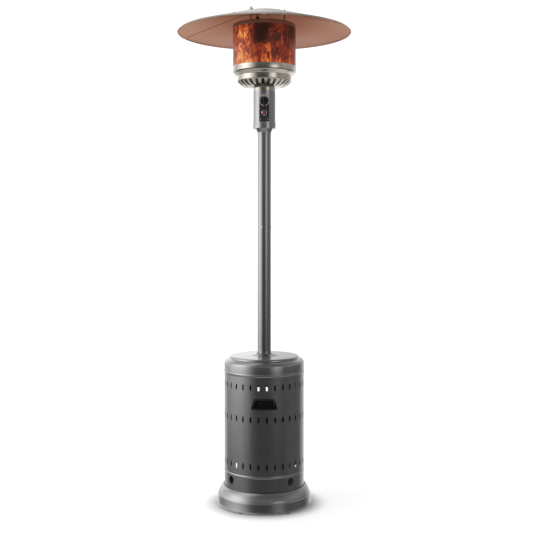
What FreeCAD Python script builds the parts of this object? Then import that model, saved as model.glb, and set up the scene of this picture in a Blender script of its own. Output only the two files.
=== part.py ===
"""Outdoor heater: a mushroom patio heater with a pressed base, a lifting tank cover,
a post and a burner head under a round reflector.  Millimetres, +Z up, front towards -Y.
The origin is on the floor under the centre of the post."""
import FreeCAD, Part
import Sketcher
import math
import os
from types import SimpleNamespace
from FreeCAD import Placement, Rotation, Vector

doc = FreeCAD.newDocument("outdoor_heater")

# ---------------------------------------------------------------- driving dimensions
SIZES = {
    # base and tank bay
    "foot_height": 5, "foot_radius": 12, "foot_ring_margin": 19.7,
    "base_rim_margin": 36.7, "base_wall_margin": 30.2, "base_crease_margin": 28.7,
    "base_rim_height": 15, "base_crease_height": 39, "base_height": 88, "base_sheet": 1.2,
    "base_flange_width": 30, "base_top_width": 26, "base_top_margin": 1.5,
    "base_rim_edge": 3, "base_flare_arc": 24, "base_dome_arc": 90,
    "base_crease_step": 2, "base_crease_rise": 3,
    "cover_radius": 186.3, "cover_sheet": 0.8, "band_height": 71, "band_bead": 1.2,
    "cable_hole_radius": 18, "cable_hole_height": 39,
    "deck_sheet": 1.5, "tank_radius": 155.5, "tank_margin": 1.5, "tank_room": 465.5,
    "locator_width": 2, "locator_height": 10, "inlet_room": 36,
    "leg_radius": 9, "leg_wall": 1.5, "leg_ring_inset": 12.3, "leg_plug": 12,
    "bracket_sheet": 3, "bracket_hub_margin": 18.5, "bracket_arm_width": 30, "socket_height": 41,
    "socket_wall": 2.5,
    # tank cover
    "cover_height": 475, "cover_gap": 0.4,
    "slot_width": 8.5, "slot_height": 27,
    "slot_row_low": 43, "slot_row_middle": 255, "slot_row_high": 400,
    "grip_width_low": 116, "grip_width_high": 84, "grip_height": 47, "grip_level": 326,
    "grip_lip": 2, "grip_border": 5, "grip_depth": 24, "grip_wall": 2, "grip_corner": 60,
    "grip_side_height": 12,
    "lid_overlap": 32, "lid_sheet": 0.8, "lid_bead": 1.4, "lid_skirt": 43, "lid_shoulder": 25,
    "lid_disc_inset": 24.3, "lid_disc_height": 13, "lid_boss_margin": 35.5, "lid_boss_height": 9,
    "lid_hole_margin": 5, "lid_shoulder_radius": 30,
    # post
    "post_radius": 31.5, "post_wall": 1.3, "lower_post_length": 681, "upper_post_length": 455,
    "coupler_length": 120, "coupler_wall": 1.5, "post_screw_rise": 10,
    "socket_flange_margin": 8.5, "socket_cone_height": 17, "socket_sleeve": 1.2,
    "socket_sleeve_drop": 13, "socket_spigot": 20, "socket_flange": 3, "socket_screw_drop": 6,
    "collar_radius": 53.4, "collar_height": 29, "collar_screw_drop": 9, "head_sheet": 1.2,
    "housing_radius": 52.4, "housing_height": 145, "neck_height": 4,
    # control panel
    "panel_width": 46, "panel_height": 127, "panel_base": 1, "panel_depth": 3,
    "panel_screw_rise": 9, "panel_screw_across": 16,
    "knob_level": 95, "knob_radius": 20, "knob_skirt": 6, "knob_grip_depth": 14,
    "knob_grip_width": 11, "knob_pointer": 32, "knob_travel": 5, "knob_clearance": 1.5,
    "spindle_radius": 4, "spindle_flat": 3, "running_gap": 0.05, "spindle_hole_margin": 2,
    "plug_radius": 7, "plug_length": 26, "valve_width": 30, "valve_front": 44, "valve_back": 12,
    "bonnet_radius": 12, "bonnet_depth": 3, "bonnet_screw_across": 9.5,
    "igniter_level": 40, "bezel_radius": 12.5, "bezel_depth": 4, "button_radius": 6,
    "button_depth": 9, "button_travel": 6, "button_stem_radius": 3, "button_stem_length": 21,
    "button_rest_gap": 0.8, "button_side_gap": 0.35, "neck_wall": 2, "piezo_radius": 9,
    "piezo_length": 34, "piezo_floor": 4,
    "tilt_switch_width": 14, "tilt_switch_depth": 16, "tilt_switch_height": 26,
    "inlet_radius": 7.9, "inlet_bore": 3, "inlet_length": 22, "inlet_nut_radius": 12,
    "inlet_nut_height": 12, "inlet_rise": 8,
    # burner head
    "pan_throat_radius": 52, "pan_cone_inset": 23.6, "pan_cone_height": 34,
    "pan_wall_inset": 19.6, "pan_wall_low": 44, "pan_wall_high": 68, "pan_flare_height": 88,
    "pan_step": 8, "pan_step_height": 7, "pan_roll": 2, "pan_roll_height": 6, "pan_lip_share": 0.6,
    "pan_cone_arc": 12, "pan_step_arc": 16, "pan_roll_arc": 10,
    "vent_inner_inset": 59.6, "vent_outer_inset": 29.6, "vent_width": 7, "burner_sheet": 0.8,
    "band_sheet": 1.9, "screen_band_height": 29, "band_screw_rise": 9,
    "screen_radius": 147.6, "screen_height": 179, "screen_sheet": 0.5,
    "cap_sheet": 1, "cap_disc_sheet": 0.6, "cap_height": 18, "cap_overlap": 6, "cap_edge": 4,
    "plate_drop": 10, "plate_sheet": 1.2,
    "burner_cup_radius": 62, "burner_cup_height": 42, "burner_cone_height": 20,
    "burner_cone_radius": 20, "burner_cup_wall": 1,
    "venturi_radius": 14, "venturi_wall": 1.2, "pipe_radius": 5, "pipe_wall": 1,
    "nozzle_level": 14, "nozzle_height": 12, "nozzle_radius": 9, "jet_radius": 0.6,
    "pilot_margin": 16, "pilot_radius": 6, "pilot_height": 30, "pilot_tip_radius": 3,
    "pilot_tip_height": 10,
    "thermocouple_radius": 4, "thermocouple_nut": 26, "thermocouple_tip_radius": 1.8,
    "thermocouple_height": 46,
    "ceramic_radius": 4.5, "ceramic_height": 24, "spark_radius": 1.2, "spark_height": 44,
    # reflector
    "reflector_radius": 407.5, "reflector_lip": 7.5, "reflector_lip_height": 8,
    "reflector_flat_radius": 105, "reflector_rise": 87, "reflector_sheet": 1.0,
    "reflector_eye_radius": 8, "rim_below_cap": 38, "strap_inset": 16,
    "seam_screw_outer": 32, "seam_screw_inner": 60,
    "stud_radius": 4, "stud_ring_radius": 96, "stud_washer_radius": 9, "stud_end": 16,
    "stud_nut_height": 6, "wing_washer": 1.5, "wing_hub_radius": 7, "wing_hub_top_radius": 5.5,
    "wing_hub_height": 9, "wing_span": 30, "wing_sheet": 2.6, "wing_height": 9, "wing_rise": 7,
}
SLOT_COUNT, SLOT_PHASE = 31, 3.7
VENT_COUNT = 26
LEG_ANGLES = (80, 150, 210, 280)
CABLE_HOLE_ANGLES = (-54, 40, 122, 227)
POST_SCREW_ANGLES = (-19, 71, 161, 251)
SOCKET_SCREW_ANGLES = (-40, 50, 140, 230)
COLLAR_SCREW_ANGLES = [45 * i for i in range(8)]
BAND_SCREW_ANGLES = (-45, 45, 135, 225)
CAP_SCREW_ANGLES = (-90, 0, 90, 180)
STUD_ANGLES = (80, 200, 320)
FOOT_ANGLES = [30 + 60 * i for i in range(6)]
PILOT_ANGLE, THERMOCOUPLE_ANGLE, ELECTRODE_ANGLE = 10, 22, -2
SEAM_ANGLE = -22
SEAM_SCREW_TURN = 1.4
SEAM_SEAT = 0.85
PANEL_COUNT = 4
SKIN_OVERLAP, STRAP_WIDTH = 1.2, 3
# screws: head radius, head height, shank radius, shank length
BRACKET_BOLT = (6.5, 4, 4, 14)
POST_SCREW = (4.5, 2.4, 2.5, 7)
SOCKET_SCREW = (3.4, 2.2, 2, 7)
COLLAR_SCREW = (3, 1.8, 1.75, 5)
PANEL_SCREW = (2.6, 1.6, 1.5, 12)
BONNET_SCREW = (1.9, 1.2, 1.2, 8)
BAND_SCREW = (3.6, 2, 2, 6)
CAP_SCREW = (2.6, 1.6, 1.5, 4)
SEAM_SCREW = (4, 2.2, 2, 9)
HEAD_TAPER = 0.72
SCREW_CLEARANCE = 0.1
REACH = 40

sheet = doc.addObject("Spreadsheet::Sheet", "dims")
for row, (alias, number) in enumerate(SIZES.items(), start=1):
    sheet.set(f"A{row}", alias)
    sheet.set(f"B{row}", str(number))
    sheet.setAlias(f"B{row}", alias)
doc.recompute()


class Size:
    """A number together with the spreadsheet expression that gives it."""

    def __init__(self, value, text):
        self.value = value
        self.text = text

    @staticmethod
    def of(other):
        return other if isinstance(other, Size) else Size(other, repr(other))

    def join(self, other, sign, value):
        return Size(value, f"({self.text} {sign} {Size.of(other).text})")

    def __add__(self, other):
        return self.join(other, "+", self.value + Size.of(other).value)

    def __sub__(self, other):
        return self.join(other, "-", self.value - Size.of(other).value)

    def __mul__(self, other):
        return self.join(other, "*", self.value * Size.of(other).value)

    def __truediv__(self, other):
        return self.join(other, "/", self.value / Size.of(other).value)

    def __radd__(self, other):
        return Size.of(other) + self

    def __rsub__(self, other):
        return Size.of(other) - self

    def __rmul__(self, other):
        return Size.of(other) * self

    def __neg__(self):
        return 0 - self


d = SimpleNamespace(**{alias: Size(number, f"dims.{alias}") for alias, number in SIZES.items()})

# radii that follow the tank cover, the post and the emitter screen
d.foot_ring_radius = d.cover_radius + d.foot_ring_margin
d.base_rim_radius = d.cover_radius + d.base_rim_margin
d.base_wall_radius = d.cover_radius + d.base_wall_margin
d.base_crease_radius = d.cover_radius + d.base_crease_margin
d.base_top_radius = d.cover_radius + d.base_top_margin
d.leg_ring_radius = d.cover_radius - d.leg_ring_inset
d.lid_disc_radius = d.cover_radius - d.lid_disc_inset
d.lid_boss_radius = d.post_radius + d.lid_boss_margin
d.lid_hole_radius = d.post_radius + d.lid_hole_margin
d.bracket_hub_radius = d.post_radius + d.bracket_hub_margin
d.socket_flange_radius = d.post_radius + d.socket_flange_margin
d.pan_cone_radius = d.screen_radius - d.pan_cone_inset
d.pan_wall_radius = d.screen_radius - d.pan_wall_inset
d.vent_inner = d.screen_radius - d.vent_inner_inset
d.vent_outer = d.screen_radius - d.vent_outer_inset
d.band_radius = d.screen_radius + d.band_sheet
d.cap_radius = d.screen_radius + d.cap_sheet


def sine(angle):
    return Size(math.sin(math.radians(angle)), f"sin({angle} deg)")


def cosine(angle):
    return Size(math.cos(math.radians(angle)), f"cos({angle} deg)")


def around(radius, angle, height):
    """A point at a radius from the post, turned from the front (-Y) towards +X."""
    return (radius * sine(angle), -1 * (radius * cosine(angle)), height)


def outward(angle):
    return Vector(math.sin(math.radians(angle)), -math.cos(math.radians(angle)), 0)


# ---------------------------------------------------------------- ways of making a piece
pieces = {}
UP = Vector(0, 0, 1)
FORWARD = Vector(0, -1, 0)


def bind(thing, prop, size):
    """Set a property from a size, and keep it bound to the sheet."""
    thing.setExpression(prop, Size.of(size).text)


class Bend:
    """An arc between two outline points; left says on which side its centre lies."""

    def __init__(self, radius, left=True):
        self.radius = Size.of(radius)
        self.left = left


def arc_between(first, last, bend):
    chord = last - first
    side = Vector(-chord.y, chord.x, 0).normalize() * (1 if bend.left else -1)
    reach = math.sqrt(max(bend.radius.value ** 2 - chord.Length ** 2 / 4, 0))
    centre = (first + last) * 0.5 + side * reach
    start, end = (first, last) if bend.left else (last, first)
    start_angle = math.atan2(start.y - centre.y, start.x - centre.x)
    end_angle = math.atan2(end.y - centre.y, end.x - centre.x)
    if end_angle < start_angle:
        end_angle += 2 * math.pi
    circle = Part.Circle(centre, UP, bend.radius.value)
    return Part.ArcOfCircle(circle, start_angle, end_angle)


def draw(sketch, outline):
    """A closed outline of (across, up) points, with bends between some of them."""
    corners = [step for step in outline if not isinstance(step, Bend)]
    bends = {}
    count = -1
    for step in outline:
        if isinstance(step, Bend):
            bends[count] = step
        else:
            count += 1
    places = [Vector(Size.of(x).value, Size.of(y).value, 0) for x, y in corners]
    ends = []
    for i, place in enumerate(places):
        after = places[(i + 1) % len(places)]
        if i in bends:
            index = sketch.addGeometry(arc_between(place, after, bends[i]), False)
            ends.append((index, 1, 2) if bends[i].left else (index, 2, 1))
        else:
            index = sketch.addGeometry(Part.LineSegment(place, after), False)
            ends.append((index, 1, 2))
    for i, (index, start, _) in enumerate(ends):
        before, _, end = ends[i - 1]
        sketch.addConstraint(Sketcher.Constraint("Coincident", before, end, index, start))
    for i, (index, start, _) in enumerate(ends):
        for kind, size, axis in (("DistanceX", corners[i][0], -2), ("DistanceY", corners[i][1], -1)):
            size = Size.of(size)
            if size.value == 0:
                sketch.addConstraint(Sketcher.Constraint("PointOnObject", index, start, axis))
                continue
            number = sketch.addConstraint(
                Sketcher.Constraint(kind, -1, 1, index, start, size.value))
            bind(sketch, f"Constraints[{number}]", size)
    for i, bend in bends.items():
        number = sketch.addConstraint(
            Sketcher.Constraint("Radius", ends[i][0], bend.radius.value))
        bind(sketch, f"Constraints[{number}]", bend.radius)


def sketch_in(body, role, name, turn=0):
    """A sketch on one of the body's own origin planes, turned about its upright axis."""
    sketch = body.newObject("Sketcher::SketchObject", name)
    plane = next(f for f in body.Origin.OriginFeatures if f.Role == role)
    sketch.AttachmentSupport = (plane, [""])
    sketch.MapMode = "FlatFace"
    if turn:
        axis = Vector(0, 1, 0) if role == "XZ_Plane" else UP
        sketch.AttachmentOffset = Placement(Vector(), Rotation(axis, turn))
    return sketch


def revolve(body, name, outline, angle=360, turn=0):
    sketch = sketch_in(body, "XZ_Plane", name + "_outline", turn)
    draw(sketch, outline)
    feature = body.newObject("PartDesign::Revolution", name)
    feature.Profile = sketch
    feature.ReferenceAxis = (sketch, ["V_Axis"])
    feature.Angle = angle
    return feature


def turned(name, outline, angle=360):
    """A piece of revolution about the post's axis."""
    body = doc.addObject("PartDesign::Body", name)
    revolve(body, name + "_turning", outline, angle)
    pieces[name] = body
    return body


def tube(name, radius, wall, bottom, top):
    return turned(name, [(radius - wall, bottom), (radius, bottom), (radius, top), (radius - wall, top)])


def pocket(body, name, role, outline, depth=None, turn=0, backwards=False):
    """Cut an outline out of a body, right through when no depth is given."""
    sketch = sketch_in(body, role, name + "_outline", turn)
    draw(sketch, outline)
    feature = body.newObject("PartDesign::Pocket", name)
    feature.Profile = sketch
    if depth is None:
        feature.Type = "ThroughAll"
        feature.Midplane = True
    else:
        feature.Type = "Length"
        bind(feature, "Length", depth)
        feature.Reversed = backwards
    return feature


def ring_of(body, name, features, count):
    pattern = body.newObject("PartDesign::PolarPattern", name)
    pattern.Originals = features
    axis = next(f for f in body.Origin.OriginFeatures if f.Role == "Z_Axis")
    pattern.Axis = (axis, [""])
    pattern.Angle = 360
    pattern.Occurrences = count
    body.Tip = pattern
    return pattern


def put(thing, place, direction=UP):
    thing.Placement = Placement(Vector(), Rotation(UP, direction))
    for letter, size in zip("xyz", place):
        bind(thing, f"Placement.Base.{letter}", size)
    return thing


def rod(radius, length, place, direction=UP):
    cylinder = doc.addObject("Part::Cylinder", "rod")
    bind(cylinder, "Radius", radius)
    bind(cylinder, "Height", length)
    return put(cylinder, place, direction)


def cone(radius, tip_radius, length, place, direction=UP):
    solid = doc.addObject("Part::Cone", "cone")
    bind(solid, "Radius1", radius)
    bind(solid, "Radius2", tip_radius)
    bind(solid, "Height", length)
    return put(solid, place, direction)


def block(across, deep, high, place):
    """A box centred across and deep on its place, standing up from it."""
    solid = doc.addObject("Part::Box", "block")
    bind(solid, "Length", across)
    bind(solid, "Width", deep)
    bind(solid, "Height", high)
    x, y, z = place
    return put(solid, (x - Size.of(across) / 2, y - Size.of(deep) / 2, z))


def fused(name, solids):
    feature = doc.addObject("Part::MultiFuse", name)
    feature.Shapes = solids
    return feature


def cut_from(name, base, tool):
    feature = doc.addObject("Part::Cut", name)
    feature.Base = base
    feature.Tool = tool
    return feature


def common_of(name, first, second):
    feature = doc.addObject("Part::Common", name)
    feature.Base = first
    feature.Tool = second
    return feature


def drill(name, holes):
    """Cut holes through a piece that has been made."""
    tool = holes[0] if len(holes) == 1 else fused(name + "_holes", holes)
    pieces[name] = cut_from(name + "_drilled", pieces[name], tool)


def screws(name, places, kind, through):
    """Like screws, each with its head seated at a place and facing a direction."""
    head_radius, head_height, shank_radius, shank_length = kind
    solids = []
    seats = []
    for place, facing in places:
        behind = tuple(at - shank_length * part for at, part in zip(place, facing))
        solids.append(cone(head_radius, head_radius * HEAD_TAPER, head_height, place, facing))
        solids.append(rod(shank_radius, shank_length, behind, facing))
        seats.append((behind, facing))
    pieces[name] = fused(name, solids)
    for target in through:
        drill(target, [rod(shank_radius + SCREW_CLEARANCE, shank_length, behind, facing)
                       for behind, facing in seats])


def ring_places(radius, angles, height):
    return [(around(radius, angle, height), outward(angle)) for angle in angles]


# ---------------------------------------------------------------- levels up the heater
base_bottom = d.foot_height
base_top = base_bottom + d.base_height
band_top = base_top + d.band_height
deck_top = base_top + d.deck_sheet
bracket_bottom = deck_top + d.tank_room + d.inlet_room
bracket_top = bracket_bottom + d.bracket_sheet
cover_bottom = band_top + d.cover_gap
cover_top = cover_bottom + d.cover_height
lid_bottom = cover_top - d.lid_overlap
lid_shoulder_low = lid_bottom + d.lid_skirt
lid_step = lid_shoulder_low + d.lid_shoulder
lid_top = lid_step + d.lid_disc_height
post_joint = bracket_top + d.lower_post_length
post_top = post_joint + d.upper_post_length
collar_bottom = post_top + d.socket_cone_height
housing_bottom = collar_bottom + d.collar_height
housing_top = housing_bottom + d.housing_height
pan_bottom = housing_top + d.neck_height
pan_cone_top = pan_bottom + d.pan_cone_height
pan_wall_low = pan_bottom + d.pan_wall_low
pan_wall_high = pan_bottom + d.pan_wall_high
screen_band_bottom = pan_bottom + d.pan_flare_height
screen_bottom = screen_band_bottom + d.screen_band_height
screen_top = screen_bottom + d.screen_height
cap_bottom = screen_top - d.cap_overlap
cap_top = screen_top + d.cap_height - d.cap_overlap
rim_bottom = cap_top - d.rim_below_cap
reflector_top = rim_bottom + d.reflector_lip_height + d.reflector_rise

# ---------------------------------------------------------------- base and tank bay
t = d.base_sheet
rim = base_bottom + d.base_rim_height
crease = base_bottom + d.base_crease_height
crease_inner = d.base_crease_radius - d.base_crease_step
crease_top = crease + d.base_crease_rise
top_edge = d.base_top_radius
turned("base_shell", [
    (d.base_rim_radius - d.base_flange_width, base_bottom), (d.base_rim_radius, base_bottom),
    (d.base_rim_radius, base_bottom + d.base_rim_edge), Bend(d.base_flare_arc, False),
    (d.base_wall_radius, rim),
    (d.base_crease_radius, crease), (crease_inner, crease_top), Bend(d.base_dome_arc),
    (top_edge, base_top - 1), (top_edge - 1, base_top), (top_edge - d.base_top_width, base_top),
    (top_edge - d.base_top_width, base_top - t), (top_edge - 1 - t * 0.5, base_top - t),
    Bend(d.base_dome_arc - 2, False), (crease_inner - t * 1.2, crease_top - t * 0.3),
    (d.base_crease_radius - t, crease - 1), (d.base_wall_radius - t, rim + 1),
    Bend(d.base_flare_arc - 2), (d.base_rim_radius - t, base_bottom + d.base_rim_edge + 1),
    (d.base_rim_radius - t, base_bottom + t),
    (d.base_rim_radius - d.base_flange_width, base_bottom + t)])
pieces["base_feet"] = fused("base_feet", [
    rod(d.foot_radius, d.foot_height, around(d.foot_ring_radius, angle, 0)) for angle in FOOT_ANGLES])

locator = d.tank_radius + d.tank_margin
locator_top = deck_top + d.locator_height
turned("tank_deck", [
    (0, base_top), (d.cover_radius - d.cover_sheet, base_top),
    (d.cover_radius - d.cover_sheet, deck_top), (locator + d.locator_width, deck_top),
    (locator + d.locator_width, locator_top), (locator, locator_top), (locator, deck_top), (0, deck_top)])

turned("lower_band", [
    (d.cover_radius - d.cover_sheet, base_top), (d.cover_radius, base_top),
    (d.cover_radius, base_top + 5), (d.cover_radius + d.band_bead, base_top + 7),
    (d.cover_radius, base_top + 9), (d.cover_radius, band_top),
    (d.cover_radius - d.cover_sheet, band_top)])
drill("lower_band", [
    rod(d.cable_hole_radius, REACH, place, facing) for place, facing in ring_places(
        d.cover_radius - REACH / 2, CABLE_HOLE_ANGLES, base_top + d.cable_hole_height)])

for number, angle in enumerate(LEG_ANGLES, start=1):
    outer = rod(d.leg_radius, bracket_bottom - deck_top, around(d.leg_ring_radius, angle, deck_top))
    bore = rod(d.leg_radius - d.leg_wall, bracket_bottom - deck_top - 2 * d.leg_plug,
               around(d.leg_ring_radius, angle, deck_top + d.leg_plug))
    pieces[f"support_leg_{number}"] = cut_from(f"support_leg_{number}", outer, bore)

arm_length = d.leg_ring_radius + d.leg_radius
hub = rod(d.bracket_hub_radius, d.bracket_sheet, (0, 0, bracket_bottom))
arms = []
for angle in LEG_ANGLES:
    arm = block(d.bracket_arm_width, arm_length, d.bracket_sheet, (0, 0, 0))
    arm.Placement.Rotation = Rotation(UP, angle)
    half = d.bracket_arm_width / 2
    bind(arm, "Placement.Base.x", -1 * half * cosine(angle) + arm_length * sine(angle))
    bind(arm, "Placement.Base.y", -1 * half * sine(angle) - arm_length * cosine(angle))
    bind(arm, "Placement.Base.z", bracket_bottom)
    arms.append(arm)
sleeve = rod(d.post_radius + d.socket_wall, d.socket_height + d.bracket_sheet, (0, 0, bracket_bottom))
bracket = fused("bracket_blank", [hub, sleeve] + arms)
pieces["post_bracket"] = cut_from("post_bracket", bracket,
                                  rod(d.post_radius, d.socket_height, (0, 0, bracket_top)))
all_legs = [f"support_leg_{number}" for number in range(1, len(LEG_ANGLES) + 1)]
screws("bracket_bolts", [(around(d.leg_ring_radius, angle, bracket_top), UP) for angle in LEG_ANGLES],
       BRACKET_BOLT, ["post_bracket"] + all_legs)
screws("leg_bolts", [(around(d.leg_ring_radius, angle, base_top - t), -UP) for angle in LEG_ANGLES],
       BRACKET_BOLT, ["base_shell", "tank_deck"] + all_legs)

# ---------------------------------------------------------------- tank cover
cover = tube("cover_shell", d.cover_radius, d.cover_sheet, cover_bottom, cover_top)
half_slot = d.slot_width / 2
rows = []
for name, level in (("low", d.slot_row_low), ("middle", d.slot_row_middle), ("high", d.slot_row_high)):
    low = cover_bottom + level - d.slot_height / 2 + half_slot
    high = cover_bottom + level + d.slot_height / 2 - half_slot
    rows.append(pocket(cover, f"slot_{name}", "XZ_Plane", [
        (-1 * half_slot, low), Bend(half_slot * 1.001), (half_slot, low),
        (half_slot, high), Bend(half_slot * 1.001), (-1 * half_slot, high)],
        d.cover_radius + REACH, turn=SLOT_PHASE, backwards=True))
ring_of(cover, "slots_all_round", rows, SLOT_COUNT)


def grip_outline(border):
    """The grip's trapezium, smaller all round by a border."""
    low = cover_bottom + d.grip_level - d.grip_height / 2 + border
    high = cover_bottom + d.grip_level + d.grip_height / 2 - border
    wide = d.grip_width_low / 2 - border
    narrow = d.grip_width_high / 2 - border
    return [(-1 * wide, low), (wide, low), (wide, low + d.grip_side_height), Bend(d.grip_corner),
            (narrow, high), (-1 * narrow, high), Bend(d.grip_corner),
            (-1 * wide, low + d.grip_side_height)]


def prism(name, outline, depth):
    """An outline drawn on the upright plane and drawn out towards the front."""
    body = doc.addObject("PartDesign::Body", name)
    sketch = sketch_in(body, "XZ_Plane", name + "_outline")
    draw(sketch, outline)
    pad = body.newObject("PartDesign::Pad", name + "_pad")
    pad.Profile = sketch
    bind(pad, "Length", depth)
    return body


def shell_between(inner, outer):
    low = cover_bottom + d.grip_level - d.grip_height
    tall = d.grip_height * 2
    return cut_from("shell", rod(outer, tall, (0, 0, low)), rod(inner, tall, (0, 0, low)))


def grip(name, facing, opened):
    face = d.cover_radius + d.grip_lip
    lip = common_of(name + "_lip", prism(name + "_rim", grip_outline(Size.of(0.0)), face + REACH),
                    shell_between(d.cover_radius, face))
    cup = common_of(name + "_cup", prism(name + "_side", grip_outline(d.grip_border), face + REACH),
                    shell_between(d.cover_radius - d.grip_depth, face))
    floor = d.cover_radius - d.grip_depth + d.grip_wall
    depth = 1 if opened else floor
    hollow = cut_from(name + "_hollow",
                      prism(name + "_inside", grip_outline(d.grip_border + d.grip_wall), face + 2 * REACH),
                      rod(depth, 2 * d.grip_height + cover_top, (0, 0, 0)))
    pieces[name] = cut_from(name, fused(name + "_blank", [lip, cup]), hollow)
    pieces[name].Placement = Placement(Vector(), Rotation(UP, facing))


pocket(cover, "grip_windows", "XZ_Plane", grip_outline(d.grip_border))
grip("grip_front", 0, False)
grip("grip_back", 180, True)

t = d.lid_sheet
skirt = d.cover_radius + t
turned("cover_lid", [
    (skirt - t, lid_bottom), (skirt, lid_bottom), (skirt, lid_bottom + 5),
    (skirt + d.lid_bead, lid_bottom + 7), (skirt + d.lid_bead, lid_bottom + 14),
    (skirt, lid_bottom + 16), (skirt, lid_shoulder_low), Bend(d.lid_shoulder_radius),
    (d.lid_disc_radius + 4, lid_step),
    (d.lid_disc_radius, lid_step + 0.5), (d.lid_disc_radius, lid_top - 2),
    (d.lid_disc_radius - 2, lid_top), (d.lid_boss_radius, lid_top), Bend(60, False),
    (d.lid_hole_radius + 6, lid_top + d.lid_boss_height), (d.lid_hole_radius, lid_top + d.lid_boss_height),
    (d.lid_hole_radius, lid_top + d.lid_boss_height - t),
    (d.lid_hole_radius + 5, lid_top + d.lid_boss_height - t), Bend(60),
    (d.lid_boss_radius, lid_top - t), (d.lid_disc_radius - 2.5, lid_top - t),
    (d.lid_disc_radius - t, lid_top - 2.5), (d.lid_disc_radius - t, lid_step + 0.5 - t),
    (d.lid_disc_radius + 3, lid_step - t), Bend(d.lid_shoulder_radius - 1, False),
    (skirt - t, lid_shoulder_low)])

# ---------------------------------------------------------------- post
post_bore = d.post_radius - d.post_wall
tube("lower_post", d.post_radius, d.post_wall, bracket_top, post_joint)
tube("upper_post", d.post_radius, d.post_wall, post_joint, collar_bottom + d.socket_spigot)
tube("post_coupler", post_bore, d.coupler_wall, post_joint - d.coupler_length / 2,
     post_joint + d.coupler_length / 2)
screws("post_joint_screws", ring_places(d.post_radius, POST_SCREW_ANGLES, post_joint + d.post_screw_rise),
       POST_SCREW, ["upper_post", "post_coupler"])

sleeve_radius = d.post_radius + d.socket_sleeve
sleeve_low = post_top - d.socket_sleeve_drop
spigot_top = collar_bottom + d.socket_spigot
turned("post_socket", [
    (d.post_radius, sleeve_low), (sleeve_radius, sleeve_low), (sleeve_radius, post_top),
    (d.socket_flange_radius, collar_bottom), (d.housing_radius, collar_bottom),
    (d.housing_radius, collar_bottom + d.socket_flange), (sleeve_radius, collar_bottom + d.socket_flange),
    (sleeve_radius, spigot_top), (d.post_radius, spigot_top)])
screws("socket_screws", ring_places(sleeve_radius, SOCKET_SCREW_ANGLES, post_top - d.socket_screw_drop),
       SOCKET_SCREW, ["post_socket", "upper_post"])

# ---------------------------------------------------------------- control housing
tube("housing_collar", d.collar_radius, d.collar_radius - d.housing_radius, collar_bottom,
     housing_bottom)
tube("control_housing", d.housing_radius, d.head_sheet, collar_bottom + d.socket_flange, housing_top)
screws("collar_screws", ring_places(d.collar_radius, COLLAR_SCREW_ANGLES,
                                    housing_bottom - d.collar_screw_drop),
       COLLAR_SCREW, ["housing_collar", "control_housing"])

panel_face = d.housing_radius + d.panel_depth
panel_low = housing_bottom + d.panel_base
panel_half = d.panel_width / 2
panel_blank = prism("panel_blank", [
    (-1 * panel_half, panel_low), (panel_half, panel_low),
    (panel_half, panel_low + d.panel_height - panel_half), Bend(panel_half * 1.001),
    (-1 * panel_half, panel_low + d.panel_height - panel_half)], panel_face)
pieces["control_panel"] = cut_from(
    "control_panel", panel_blank, rod(d.housing_radius, housing_top - collar_bottom, (0, 0, collar_bottom)))
knob_z = housing_bottom + d.knob_level
igniter_z = housing_bottom + d.igniter_level
screws("panel_screws", [((side * d.panel_screw_across, -1 * panel_face, panel_low + d.panel_screw_rise),
                         FORWARD) for side in (-1, 1)],
       PANEL_SCREW, ["control_panel", "control_housing"])

# gas valve: a brass block with a turning plug behind a screwed bonnet
half = d.valve_width / 2
bore_front = -1 * d.valve_front
valve_block = block(d.valve_width, d.valve_front + d.valve_back, d.valve_width,
                    (0, (d.valve_back - d.valve_front) / 2, knob_z - half))
plug_bore = rod(d.plug_radius + d.running_gap, d.plug_length + 1,
                (0, bore_front + d.plug_length + 1, knob_z), FORWARD)
pieces["control_valve"] = cut_from("control_valve", valve_block, plug_bore)
bonnet = rod(d.bonnet_radius, d.bonnet_depth, (0, bore_front, knob_z), FORWARD)
pieces["valve_bonnet"] = cut_from(
    "valve_bonnet", bonnet, rod(d.spindle_radius + 0.4, d.bonnet_depth, (0, bore_front, knob_z), FORWARD))
screws("bonnet_screws", [((side * d.bonnet_screw_across, bore_front - d.bonnet_depth, knob_z), FORWARD)
                         for side in (-1, 1)],
       BONNET_SCREW, ["valve_bonnet", "control_valve"])


def keyed_rod(radius, flat, length, start):
    """A shaft towards the front with one side flattened."""
    shaft = rod(radius, length, (0, start, knob_z), FORWARD)
    shaving = block(radius * 2, length * 3, radius * 4, (flat + radius, start, knob_z - radius * 2))
    return cut_from("keyed_rod", shaft, shaving)


spindle_back = bore_front + d.plug_length - d.knob_travel - 3
knob_back = -1 * (panel_face + d.knob_travel + d.knob_clearance)
knob_front = knob_back - d.knob_skirt - d.knob_grip_depth
spindle_length = spindle_back - knob_back + d.knob_skirt
plug = rod(d.plug_radius, d.plug_length - 0.5, (0, bore_front + d.plug_length, knob_z), FORWARD)
socket = keyed_rod(d.spindle_radius + d.running_gap, d.spindle_flat + d.running_gap,
                   d.plug_length, bore_front + d.plug_length - 2)
pieces["valve_plug"] = cut_from("valve_plug", plug, socket)
pieces["valve_spindle"] = keyed_rod(d.spindle_radius, d.spindle_flat, spindle_length, spindle_back)
skirt_disc = rod(d.knob_radius, d.knob_skirt, (0, knob_back, knob_z), FORWARD)
bar_high = d.knob_pointer + d.knob_radius - 2
bar = block(d.knob_grip_width, d.knob_grip_depth + d.knob_skirt, bar_high,
            (0, (knob_back + knob_front) / 2, knob_z - d.knob_pointer))
knob_blank = fused("knob_blank", [skirt_disc, bar])
pieces["control_knob"] = cut_from(
    "control_knob", knob_blank,
    keyed_rod(d.spindle_radius, d.spindle_flat, d.knob_skirt, knob_back))
for target in ("control_panel", "control_housing"):
    drill(target, [rod(d.spindle_radius + d.spindle_hole_margin, REACH,
                       (0, -1 * panel_face + REACH / 2, knob_z), FORWARD)])

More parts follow.
